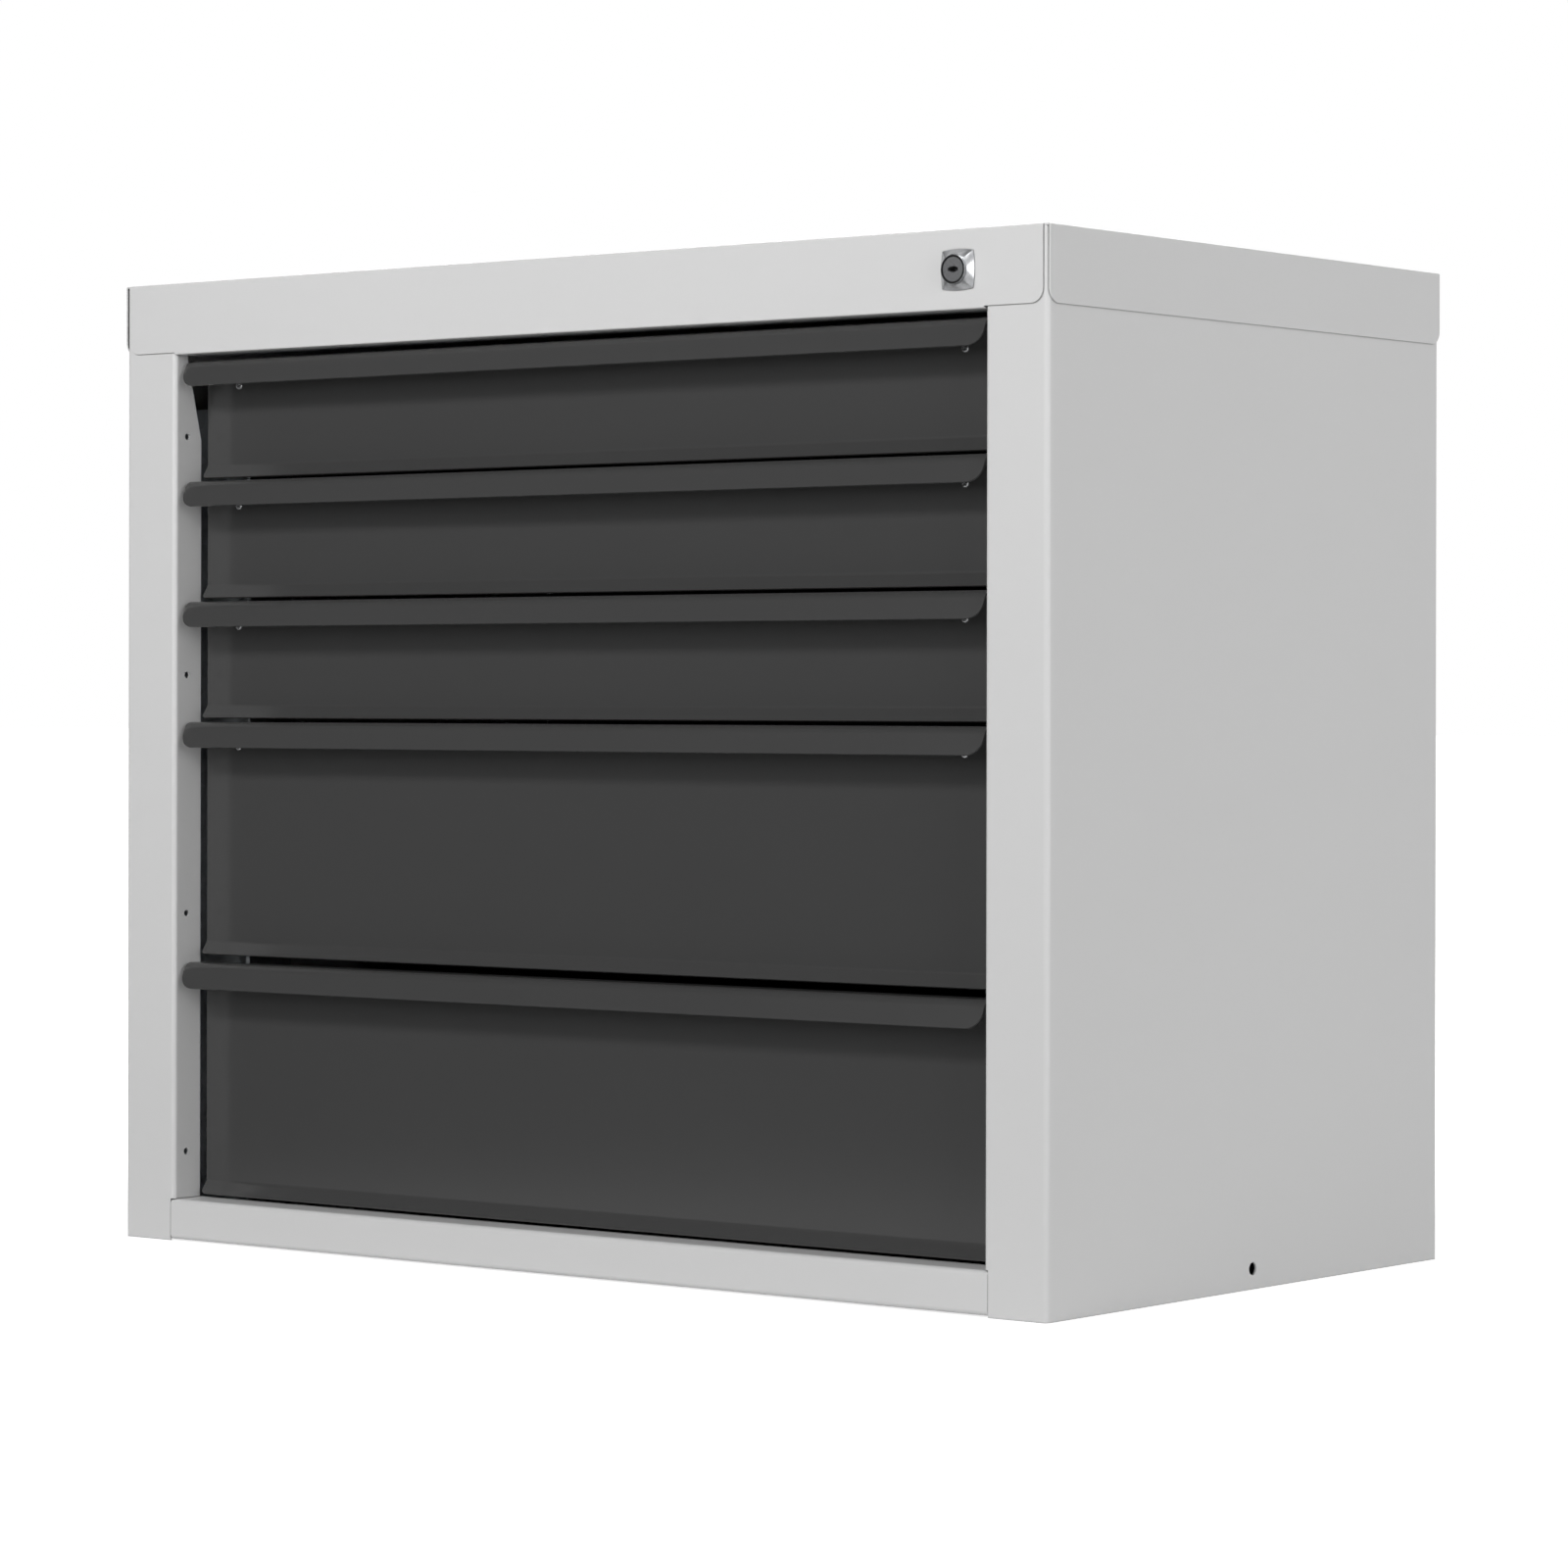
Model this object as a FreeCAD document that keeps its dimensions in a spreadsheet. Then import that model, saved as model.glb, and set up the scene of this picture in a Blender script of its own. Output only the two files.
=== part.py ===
import FreeCAD, Part
import math
import os
import re
import Sketcher

# Steel drawer cabinet: folded body, five drawers on telescopic slides, central lock.
# Millimetres. X runs across the front, Y from front to back, Z up from the floor.
# Inside each sub-part Y is 0 on the face of the front stiles.

doc = FreeCAD.newDocument("drawer_cabinet")
sheet = doc.addObject("Spreadsheet::Sheet", "Sizes")

SIZES = {
    # Cabinet body
    "cabinet_height": 595,
    "body_width": 706,
    "body_depth": 408,
    "body_sheet": 1.2,
    "body_bend": 1.8,
    "stile_width": 42.3,
    "return_depth": 22.8,
    "return_top_depth": 10.5,
    "taper_height": 52.6,
    "back_flange": 20,
    "seam_gap": 0.3,
    # Small holes in the stile returns, and one in each side
    "return_hole_radius": 2.05,
    "return_hole_inset": 10.6,
    "return_hole_height": 54.8,
    "return_hole_pitch": 148.5,
    "side_hole_radius": 3.75,
    "side_hole_height": 11.8,
    # Bottom panel with the front rail
    "rail_height": 25.7,
    "rail_lift": 0.8,
    "rail_depth": 25,
    "pan_flange": 20,
    "flange_root": 4,
    "flange_notch": 30,
    "flange_end_gap": 4,
    # Top cover with the header over the drawers
    "cover_sheet": 1,
    "skirt_height": 42.8,
    "skirt_corner_gap": 3.2,
    "skirt_side_gap": 0.3,
    "skirt_corner_radius": 8,
    "header_height": 44.15,
    "header_depth": 25,
    # Back panel
    "back_sheet": 1,
    "back_rivet_radius": 1.6,
    "back_rivet_head_radius": 3.2,
    "back_rivet_head_height": 0.9,
    "back_rivet_tail": 1.5,
    "back_rivet_margin": 45,
    # Slide uprights
    "upright_sheet": 1.2,
    "upright_bend": 1.2,
    "upright_depth": 40,
    "upright_foot": 12,
    "upright_headroom": 75,
    "front_upright_place": 52,
    "rear_upright_place": 340,
    # Drawer fronts
    "top_gap": 3.95,
    "module_pitch": 74.8,
    "front_module": 72.55,
    "front_width": 614,
    "front_sheet": 1,
    "panel_place": 25,
    "panel_bend": 1,
    "lip_place": 0.2,
    "lip_drop": 15.6,
    "lip_angle": 23,
    "handle_bend": 5.5,
    "lip_corner_radius": 9.5,
    "flare_height": 7.8,
    "flare_angle": 35,
    "flare_bend": 3,
    "flare_corner_radius": 3,
    "side_flange_depth": 15,
    "side_flange_top_gap": 4,
    # Drawer trays
    "tray_width": 569.6,
    "tray_length": 366,
    "tray_sheet": 1,
    "tray_bend": 1,
    "tray_lift": 8,
    "tray_top_gap": 10,
    "tray_hem": 8,
    "weld_gap": 0.05,
    # Rivets through front and tray
    "rivet_inset": 27.5,
    "rivet_drop": 15.1,
    "rivet_radius": 1.6,
    "rivet_head_radius": 2.5,
    "rivet_head_height": 1.2,
    "rivet_dome": 1,
    "rivet_tail_radius": 2.8,
    "rivet_tail_height": 0.8,
    "fastener_clearance": 0.1,
    # Telescopic slides, each with three members one inside the other
    "slide_length": 350,
    "slide_height": 45,
    "slide_thickness": 12.7,
    "slide_sheet": 1.2,
    "slide_bend": 0.8,
    "slide_rise": 24,
    "slide_play": 0.4,
    "ball_room": 3.3,
    "outer_reach": 11.4,
    "middle_place": 3.4,
    "middle_reach": 12.1,
    "inner_place": 6,
    # Screws that hold the outer members to the uprights
    "screw_radius": 2,
    "screw_length": 5,
    "screw_head_radius": 3.6,
    "screw_head_height": 1.5,
    # Lock in the header
    "lock_inset": 59.9,
    "lock_drop": 22.4,
    "lock_projection": 5.2,
    "rosette_half": 10.4,
    "rosette_bow": 0.9,
    "rosette_edge": 0.6,
    "rosette_height": 3.8,
    "collar_radius": 8.7,
    "housing_radius": 8.1,
    "housing_length": 20,
    "plug_head_radius": 7,
    "plug_head_depth": 1.5,
    "plug_radius": 5.5,
    "plug_length": 22,
    "running_play": 0.05,
    "face_recess": 0.2,
    "tail_radius": 3,
    "keyway_width": 6.8,
    "keyway_height": 1.8,
    "keyway_depth": 8,
    "nut_flats": 22,
    "nut_thickness": 3,
    # Cam that drives the locking bar
    "cam_sheet": 2,
    "cam_arm": 16,
    "cam_end_radius": 5,
    "cam_swing": 45,
    "pin_radius": 2.5,
    "cam_screw_radius": 1.5,
    "cam_screw_depth": 8,
    "cam_screw_head_radius": 4.6,
    "cam_screw_head_height": 2.5,
    # Locking bar behind the right stile
    "bar_place": 43.2,
    "bar_sheet": 2,
    "bar_width": 16.6,
    "bar_gap": 3,
    "bar_tail": 10,
    "dog_reach": 10.4,
    "dog_height": 22,
    "dog_sheet": 1.5,
    "dog_clearance": 3,
    "yoke_height": 18,
    "yoke_reach": 12.7,
    "slot_play": 0.6,
    "guide_height": 12,
    "guide_sheet": 1.2,
    "guide_bend": 0.6,
    "guide_play": 0.3,
    "guide_foot": 11,
    "guide_drop": 32,
    # Lock studs on the trays
    "stud_radius": 2.5,
    "stud_collar_radius": 4.5,
    "stud_collar": 2,
    "stud_length": 21.2,
    "stud_place": 46.5,
    "stud_drop": 24,
    # How far every cut runs past the sheet that it cuts
    "cut_overrun": 1,
}

for row, (alias, number) in enumerate(SIZES.items(), start=1):
    sheet.set(f"A{row}", alias)
    sheet.set(f"B{row}", str(number))
    sheet.setAlias(f"B{row}", alias)
doc.recompute()

# Heights of the drawers in modules, from the top one down
DRAWER_MODULES = (1, 1, 1, 2, 2)
RETURN_HOLES = 4
BACK_RIVETS = 4
GUIDED_DRAWERS = (1, 2, 4)

# Places that several pieces share, worked out from the sizes
BODY_HALF = "(body_width / 2)"
OPENING_HALF = "(body_width / 2 - stile_width)"
WALL_INSIDE = "(body_width / 2 - body_sheet)"
BACK_INSIDE = "(body_depth - body_sheet - back_sheet)"
BODY_TOP = "(cabinet_height - cover_sheet)"
SKIRT_EDGE = "(cabinet_height - skirt_height)"
HEADER_EDGE = "(cabinet_height - header_height)"
PAN_TOP = "(rail_lift + body_sheet)"
FRONT_HALF = "(front_width / 2)"
TRAY_HALF = "(tray_width / 2)"
TRAY_FRONT = "(panel_place + front_sheet)"
WEB_PLACE = "(tray_width / 2 + slide_thickness)"
LOCK_ACROSS = "(body_width / 2 - lock_inset)"
LOCK_HEIGHT = "(cabinet_height - lock_drop)"
LOCK_FACE = "(-cover_sheet - lock_projection)"
CAM_FRONT = "(plug_length)"
BAR_INNER = "(body_width / 2 - stile_width + bar_gap)"
DOG_FRONT = "(bar_place - dog_sheet)"


def drawer_bottom(number):
    """Height of the lower edge of a drawer front above the floor."""
    above = sum(DRAWER_MODULES[:number - 1])
    own = DRAWER_MODULES[number - 1]
    return f"({HEADER_EDGE} - top_gap - {above} * module_pitch - {own} * front_module)"


def front_height(number):
    """Height of a drawer front."""
    return f"({DRAWER_MODULES[number - 1]} * front_module)"


def stud_height(number):
    """Height of a drawer's lock stud above the floor."""
    return f"({drawer_bottom(number)} + {front_height(number)} - stud_drop)"


def size(expression):
    """The number that an expression in named sizes comes to."""
    return float(sheet.evalExpression(expression))


def bound(expression):
    """The expression as the objects of the document read it, with the sheet's name before each size."""
    return re.sub(r"[a-z]+(?:_[a-z]+)+", r"Sizes.\g<0>", expression)


def new_body(label, height="0"):
    """An empty body whose own Y starts on the stile face and whose Z starts at the given height."""
    body = doc.addObject("PartDesign::Body", label)
    body.Label = label
    body.AllowCompound = True
    body.setExpression("Placement.Base.y", bound("(lock_projection - body_depth) / 2"))
    body.setExpression("Placement.Base.z", bound(height))
    return body


def new_sketch(body, role, offset="0"):
    """A sketch on one of the body's planes, moved to the given X, Y or Z across that plane."""
    sketch = body.newObject("Sketcher::SketchObject", body.Label + "_sketch")
    plane = next(item for item in body.Origin.OriginFeatures if item.Role == role)
    sketch.AttachmentSupport = [(plane, "")]
    sketch.MapMode = "FlatFace"
    along_normal = f"-({offset})" if role == "XZ_Plane" else offset
    sketch.setExpression("AttachmentOffset.Base.z", bound(along_normal))
    return sketch


def pin_point(sketch, geometry, end, across, up):
    """Ties one point of a sketch to two expressions."""
    for kind, expression, axis in (("DistanceX", across, -2), ("DistanceY", up, -1)):
        if expression == "0":
            sketch.addConstraint(Sketcher.Constraint("PointOnObject", geometry, end, axis))
        else:
            constraint = Sketcher.Constraint(kind, -1, 1, geometry, end, size(expression))
            index = sketch.addConstraint(constraint)
            sketch.setExpression(f"Constraints[{index}]", bound(expression))


def set_radius(sketch, geometry, expression):
    """Ties the radius of an arc or circle to an expression."""
    index = sketch.addConstraint(Sketcher.Constraint("Radius", geometry, size(expression)))
    sketch.setExpression(f"Constraints[{index}]", bound(expression))


def corner_arc(corner, before, after, radius):
    """Where a rounded corner starts, ends and has its centre, and whether it turns left."""
    to_before = (before - corner).normalize()
    to_after = (after - corner).normalize()
    half_angle = to_before.getAngle(to_after) / 2
    start = corner + to_before * (radius / math.tan(half_angle))
    finish = corner + to_after * (radius / math.tan(half_angle))
    centre = corner + (to_before + to_after).normalize() * (radius / math.sin(half_angle))
    turns_left = to_before.cross(to_after).z < 0
    return start, finish, centre, turns_left


def add_arc(sketch, start, finish, centre, turns_left):
    """Adds an arc and says which of its ends is the start and which the finish."""
    first, second = (start, finish) if turns_left else (finish, start)
    first_angle = math.atan2(first.y - centre.y, first.x - centre.x)
    second_angle = math.atan2(second.y - centre.y, second.x - centre.x)
    if second_angle < first_angle:
        second_angle += 2 * math.pi
    circle = Part.Circle(centre, FreeCAD.Vector(0, 0, 1), (start - centre).Length)
    geometry = sketch.addGeometry(Part.ArcOfCircle(circle, first_angle, second_angle), False)
    return (geometry, 1, 2) if turns_left else (geometry, 2, 1)


def draw_outline(sketch, corners):
    """A closed outline through corners given as (across, up) or (across, up, rounding radius)."""
    count = len(corners)
    places = [FreeCAD.Vector(size(corner[0]), size(corner[1]), 0) for corner in corners]
    starts, finishes, arcs = list(places), list(places), {}
    for index, corner in enumerate(corners):
        if len(corner) > 2 and size(corner[2]) > 0:
            arc = corner_arc(places[index], places[index - 1], places[(index + 1) % count], size(corner[2]))
            starts[index], finishes[index] = arc[0], arc[1]
            arcs[index] = add_arc(sketch, *arc)
    lines = []
    for index in range(count):
        line = Part.LineSegment(finishes[index], starts[(index + 1) % count])
        lines.append(sketch.addGeometry(line, False))
    for index, corner in enumerate(corners):
        arriving, leaving = lines[index - 1], lines[index]
        if index in arcs:
            arc, start_end, finish_end = arcs[index]
            point = sketch.addGeometry(Part.Point(places[index]), True)
            pin_point(sketch, point, 1, corner[0], corner[1])
            sketch.addConstraint(Sketcher.Constraint("PointOnObject", point, 1, arriving))
            sketch.addConstraint(Sketcher.Constraint("PointOnObject", point, 1, leaving))
            sketch.addConstraint(Sketcher.Constraint("Tangent", arriving, 2, arc, start_end))
            sketch.addConstraint(Sketcher.Constraint("Tangent", leaving, 1, arc, finish_end))
            set_radius(sketch, arc, corner[2])
        else:
            sketch.addConstraint(Sketcher.Constraint("Coincident", arriving, 2, leaving, 1))
            pin_point(sketch, leaving, 1, corner[0], corner[1])


def draw_box(sketch, across, up):
    """A rectangle between two values across and two values up."""
    left, right = across
    low, high = up
    draw_outline(sketch, [(left, low), (right, low), (right, high), (left, high)])


def draw_circle(sketch, across, up, radius):
    """A circle with its centre and radius bound to the sheet."""
    centre = FreeCAD.Vector(size(across), size(up), 0)
    circle = Part.Circle(centre, FreeCAD.Vector(0, 0, 1), size(radius))
    geometry = sketch.addGeometry(circle, False)
    pin_point(sketch, geometry, 3, across, up)
    set_radius(sketch, geometry, radius)


def draw_bowed_square(sketch, across, up, half, radius):
    """Four arcs of one radius that bulge outwards between the corners of a square."""
    signs = ((1, 1), (-1, 1), (-1, -1), (1, -1))
    middle = FreeCAD.Vector(size(across), size(up), 0)
    corners = [middle + FreeCAD.Vector(x, y, 0) * size(half) for x, y in signs]
    arcs = []
    for index, start in enumerate(corners):
        finish = corners[(index + 1) % len(corners)]
        side_middle = (start + finish) / 2
        inward = (middle - side_middle).normalize()
        sagitta_leg = math.sqrt(size(radius) ** 2 - size(half) ** 2)
        arcs.append(add_arc(sketch, start, finish, side_middle + inward * sagitta_leg, True))
    for index, (arc, start_end, _) in enumerate(arcs):
        previous_arc, _, previous_finish = arcs[index - 1]
        constraint = Sketcher.Constraint("Coincident", previous_arc, previous_finish, arc, start_end)
        sketch.addConstraint(constraint)
        x, y = signs[index]
        pin_point(sketch, arc, start_end, f"{across} + {x} * ({half})", f"{up} + {y} * ({half})")
        set_radius(sketch, arc, radius)


def folded(path, thickness, bend, side):
    """Outline of a folded sheet whose one face follows the path, with the sheet on its left or right.

    Each point of the path is (across, up, angle of the run that leaves it). Side is 1 for left."""
    last = len(path) - 1
    face, other = [], []
    for index, (across, up, _) in enumerate(path):
        arriving = path[max(index - 1, 0)][2]
        leaving = path[min(index, last - 1)][2]
        spread = f"{thickness} / cos(({leaving}) / 2 - ({arriving}) / 2)"
        direction = f"(({leaving}) / 2 + ({arriving}) / 2 + {90 * side})"
        shifted = (f"{across} + {spread} * cos{direction}", f"{up} + {spread} * sin{direction}")
        turn = math.sin(math.radians(size(leaving) - size(arriving)))
        if index in (0, last):
            face.append((across, up))
            other.append(shifted)
        elif turn * side > 0:
            face.append((across, up, f"{bend} + {thickness}"))
            other.append((*shifted, bend))
        else:
            face.append((across, up, bend))
            other.append((*shifted, f"{bend} + {thickness}"))
    return face + other[::-1]


def mirrored_angle(angle, side):
    """The angle itself on the right-hand side, and its mirror image on the left-hand side."""
    return angle if side > 0 else f"180 - ({angle})"


def grow(body, sketch, length, centred=True):
    """Pads a sketch, to both sides of its plane unless told otherwise."""
    feature = body.newObject("PartDesign::Pad", body.Label + "_pad")
    feature.Profile = sketch
    feature.SideType = "Symmetric" if centred else "One side"
    feature.setExpression("Length", bound(length))
    return feature


def cut(body, sketch, length):
    """Cuts a sketch out of the body, to both sides of its plane."""
    feature = body.newObject("PartDesign::Pocket", body.Label + "_pocket")
    feature.Profile = sketch
    feature.SideType = "Symmetric"
    feature.setExpression("Length", bound(length))
    return feature


def grow_between(body, role, low, high, draw):
    """Pads what draw puts on a sketch, from one value to another across the plane."""
    sketch = new_sketch(body, role, f"(({low}) + ({high})) / 2")
    draw(sketch)
    return grow(body, sketch, f"({high}) - ({low})")


def cut_between(body, role, low, high, draw):
    """Cuts what draw puts on a sketch, from one value to another across the plane."""
    sketch = new_sketch(body, role, f"(({low}) + ({high})) / 2")
    draw(sketch)
    return cut(body, sketch, f"({high}) - ({low})")


def round_edges(body, feature, radius, wanted):
    """Rounds the edges of a feature that the test picks."""
    doc.recompute()
    names = [f"Edge{number}" for number, edge in enumerate(feature.Shape.Edges, 1) if wanted(edge)]
    fillet = body.newObject("PartDesign::Fillet", body.Label + "_fillet")
    fillet.Base = (feature, names)
    fillet.setExpression("Radius", bound(radius))
    return fillet


def near(first, second):
    """Whether two lengths are the same but for rounding."""
    return abs(first - second) < 1e-4 * size("cut_overrun")


# Side panels: wall, front stile, stile return and back flange in one sheet
def make_side_panel(label, side):
    body = new_body(label)
    opening = f"{side} * {OPENING_HALF}"
    wall = f"{side} * {BODY_HALF}"
    path = [
        (opening, "return_depth", "270"),
        (opening, "0", mirrored_angle("0", side)),
        (wall, "0", "90"),
        (wall, "body_depth", mirrored_angle("180", side)),
        (f"{side} * ({BODY_HALF} - back_flange)", "body_depth", ""),
    ]
    sketch = new_sketch(body, "XY_Plane")
    draw_outline(sketch, folded(path, "body_sheet", "body_bend", side))
    grow(body, sketch, BODY_TOP, centred=False)
    # The return narrows towards the header
    sketch = new_sketch(body, "YZ_Plane", f"{side} * ({OPENING_HALF} + body_sheet / 2)")
    draw_outline(sketch, [
        ("return_top_depth", f"{BODY_TOP} + cut_overrun"),
        ("return_top_depth", HEADER_EDGE),
        ("return_depth", f"{HEADER_EDGE} - taper_height"),
        ("return_depth + cut_overrun", f"{HEADER_EDGE} - taper_height"),
        ("return_depth + cut_overrun", f"{BODY_TOP} + cut_overrun"),
    ])
    cut(body, sketch, "body_sheet + 2 * cut_overrun")
    # Room for the end of the front rail
    cut_between(
        body, "XY_Plane", "-cut_overrun", "rail_height + seam_gap",
        lambda sketch: draw_box(
            sketch,
            (f"{side} * ({OPENING_HALF} - cut_overrun)",
             f"{side} * ({OPENING_HALF} + body_sheet + body_bend)"),
            ("-cut_overrun", "return_depth + cut_overrun")))
    # Row of small holes in the return
    sketch = new_sketch(body, "YZ_Plane", f"{side} * ({OPENING_HALF} + body_sheet / 2)")
    for hole in range(RETURN_HOLES):
        height = f"return_hole_height + {hole} * return_hole_pitch"
        draw_circle(sketch, "return_hole_inset", height, "return_hole_radius")
    cut(body, sketch, "body_sheet + 2 * cut_overrun")
    # Fixing hole low in the middle of the wall
    sketch = new_sketch(body, "YZ_Plane", f"{side} * ({BODY_HALF} - body_sheet / 2)")
    draw_circle(sketch, "body_depth / 2", "side_hole_height", "side_hole_radius")
    cut(body, sketch, "body_sheet + 2 * cut_overrun")
    # Rivet holes in the back flange
    cut_between(
        body, "XZ_Plane", "body_depth - body_sheet - cut_overrun", "body_depth + cut_overrun",
        lambda sketch: draw_back_rivets(sketch, side, "back_rivet_radius + fastener_clearance"))
    return body


def draw_back_rivets(sketch, side, radius):
    """One column of circles where the back panel is riveted to a side panel."""
    across = f"{side} * ({BODY_HALF} - back_flange / 2)"
    span = f"({SKIRT_EDGE} - 2 * back_rivet_margin)"
    for rivet in range(BACK_RIVETS):
        height = f"back_rivet_margin + {rivet} * {span} / {BACK_RIVETS - 1}"
        draw_circle(sketch, across, height, radius)


# Bottom panel: front rail with its return, floor, back flange and two side flanges
def make_bottom_panel():
    body = new_body("bottom_panel")
    path = [
        ("rail_depth", "rail_height", "180"),
        ("0", "rail_height", "270"),
        ("0", "rail_lift", "0"),
        (BACK_INSIDE, "rail_lift", "90"),
        (BACK_INSIDE, "rail_lift + pan_flange", ""),
    ]
    sketch = new_sketch(body, "YZ_Plane")
    draw_outline(sketch, folded(path, "body_sheet", "body_bend", 1))
    grow(body, sketch, f"2 * ({WALL_INSIDE} - body_bend)")
    # Side flanges between the uprights, which touch the walls
    start = "front_upright_place + upright_depth + upright_foot + flange_end_gap"
    finish = "rear_upright_place - upright_foot - flange_end_gap"
    for side in (-1, 1):
        path = [
            (f"{side} * ({WALL_INSIDE} - flange_root)", "rail_lift", mirrored_angle("0", side)),
            (f"{side} * {WALL_INSIDE}", "rail_lift", "90"),
            (f"{side} * {WALL_INSIDE}", "rail_lift + pan_flange", ""),
        ]
        outline = folded(path, "body_sheet", "body_bend", side)
        grow_between(body, "XZ_Plane", start, finish,
                     lambda sketch: draw_outline(sketch, outline))
    # Behind the stiles the rail and its return are left out
    rail_half = f"({OPENING_HALF} + body_sheet + body_bend - seam_gap)"
    for side in (-1, 1):
        ends = (f"{side} * {rail_half}", f"{side} * {BODY_HALF}")
        cut_between(
            body, "XY_Plane", f"{PAN_TOP} + body_bend", "rail_height + cut_overrun",
            lambda sketch: draw_box(sketch, ends, ("-cut_overrun", "rail_depth + cut_overrun")))
        cut_between(
            body, "XY_Plane", "-cut_overrun", "rail_height + cut_overrun",
            lambda sketch: draw_box(sketch, ends, ("-cut_overrun", "body_sheet + body_bend + seam_gap")))
    # The side flanges stand clear of the fixing holes
    cut_between(
        body, "XY_Plane", f"{PAN_TOP} + body_bend", "rail_lift + pan_flange + cut_overrun",
        lambda sketch: draw_box(sketch, (f"-{BODY_HALF}", BODY_HALF),
                                ("(body_depth - flange_notch) / 2", "(body_depth + flange_notch) / 2")))
    return body


# Top cover: lid, four skirts that are open at the corners, and the header return
def make_top_cover():
    body = new_body("top_cover")
    front_half = f"({BODY_HALF} - skirt_corner_gap)"
    path = [
        ("header_depth", HEADER_EDGE, "180"),
        ("-cover_sheet", HEADER_EDGE, "90"),
        ("-cover_sheet", "cabinet_height", "0"),
        ("body_depth + cover_sheet", "cabinet_height", "270"),
        ("body_depth + cover_sheet", SKIRT_EDGE, ""),
    ]
    sketch = new_sketch(body, "YZ_Plane")
    draw_outline(sketch, folded(path, "cover_sheet", "0", -1))
    grow(body, sketch, f"2 * {front_half}")
    outside = f"({BODY_HALF} + cover_sheet)"
    path = [
        (f"-{outside}", SKIRT_EDGE, "90"),
        (f"-{outside}", "cabinet_height", "0"),
        (outside, "cabinet_height", "270"),
        (outside, SKIRT_EDGE, ""),
    ]
    outline = folded(path, "cover_sheet", "0", -1)
    grow_between(body, "XZ_Plane", "skirt_side_gap", "body_depth - skirt_side_gap",
                 lambda sketch: draw_outline(sketch, outline))
    grow_between(body, "XY_Plane", BODY_TOP, "cabinet_height",
                 lambda sketch: draw_box(sketch, (f"-{BODY_HALF}", BODY_HALF), ("0", "body_depth")))
    # The header return runs only between the stiles
    sketch = new_sketch(body, "XZ_Plane", "(header_depth - cover_sheet) / 2")
    for side in (-1, 1):
        draw_box(sketch,
                 (f"{side} * ({OPENING_HALF} - seam_gap)", f"{side} * ({BODY_HALF} + skirt_corner_gap)"),
                 (f"{HEADER_EDGE} - cut_overrun", SKIRT_EDGE))
    cut(body, sketch, "header_depth + cover_sheet + 2 * cut_overrun")
    # Hole for the lock
    sketch = new_sketch(body, "XZ_Plane", "-cover_sheet / 2")
    draw_circle(sketch, LOCK_ACROSS, LOCK_HEIGHT, "housing_radius + fastener_clearance")
    feature = cut(body, sketch, "cover_sheet + 2 * cut_overrun")
    # Rounded lower corners of the skirts
    skirt_edge = size(SKIRT_EDGE)
    corner_place = size(front_half)

    def is_skirt_corner(edge):
        low_end = all(near(vertex.Z, skirt_edge) for vertex in edge.Vertexes)
        at_corner = all(abs(vertex.X) > corner_place - size("seam_gap") for vertex in edge.Vertexes)
        return low_end and at_corner and near(edge.Length, size("cover_sheet"))

    round_edges(body, feature, "skirt_corner_radius", is_skirt_corner)
    return body


# Back panel: a flat sheet inside the back flanges
def make_back_panel():
    body = new_body("back_panel")
    half = f"({WALL_INSIDE} - body_bend)"
    front, back = BACK_INSIDE, "(body_depth - body_sheet)"
    grow_between(body, "XZ_Plane", front, back,
                 lambda sketch: draw_box(sketch, (f"-{half}", half), ("rail_lift", BODY_TOP)))
    for side in (-1, 1):
        cut_between(
            body, "XZ_Plane", f"{front} - cut_overrun", f"{back} + cut_overrun",
            lambda sketch: draw_back_rivets(sketch, side, "back_rivet_radius + fastener_clearance"))
    return body


def make_back_rivets():
    """Blind rivets with flat heads outside and short tails inside."""
    body = new_body("back_panel_rivets")
    stages = (
        (f"{BACK_INSIDE} - back_rivet_tail", BACK_INSIDE, "back_rivet_head_radius / 2 + back_rivet_radius / 2"),
        (BACK_INSIDE, "body_depth", "back_rivet_radius"),
        ("body_depth", "body_depth + back_rivet_head_height", "back_rivet_head_radius"),
    )
    for low, high, radius in stages:
        sketch = new_sketch(body, "XZ_Plane", f"(({low}) + ({high})) / 2")
        for side in (-1, 1):
            draw_back_rivets(sketch, side, radius)
        grow(body, sketch, f"({high}) - ({low})")
    return body


# Slide uprights: hat sections on the walls that carry the slides
def make_upright(label, side, place):
    body = new_body(label)
    foot = f"{side} * ({WALL_INSIDE} - upright_sheet)"
    web = f"{side} * {WEB_PLACE}"
    path = [
        (foot, f"{place} - upright_foot", "90"),
        (foot, place, mirrored_angle("180", side)),
        (web, place, "90"),
        (web, f"{place} + upright_depth", mirrored_angle("0", side)),
        (foot, f"{place} + upright_depth", "90"),
        (foot, f"{place} + upright_depth + upright_foot", ""),
    ]
    outline = folded(path, "upright_sheet", "upright_bend", -side)
    grow_between(body, "XY_Plane", PAN_TOP, "(cabinet_height - upright_headroom)",
                 lambda sketch: draw_outline(sketch, outline))
    sketch = new_sketch(body, "YZ_Plane", f"{side} * ({WEB_PLACE} + upright_sheet / 2)")
    for number in range(1, len(DRAWER_MODULES) + 1):
        draw_circle(sketch, f"{place} + upright_depth / 2", slide_height_above_floor(number),
                    "screw_radius + fastener_clearance")
    cut(body, sketch, "upright_sheet + 2 * cut_overrun")
    return body


def slide_height_above_floor(number):
    """Height of the middle of a drawer's slides above the floor."""
    return f"({drawer_bottom(number)} + tray_lift + slide_rise)"


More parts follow.
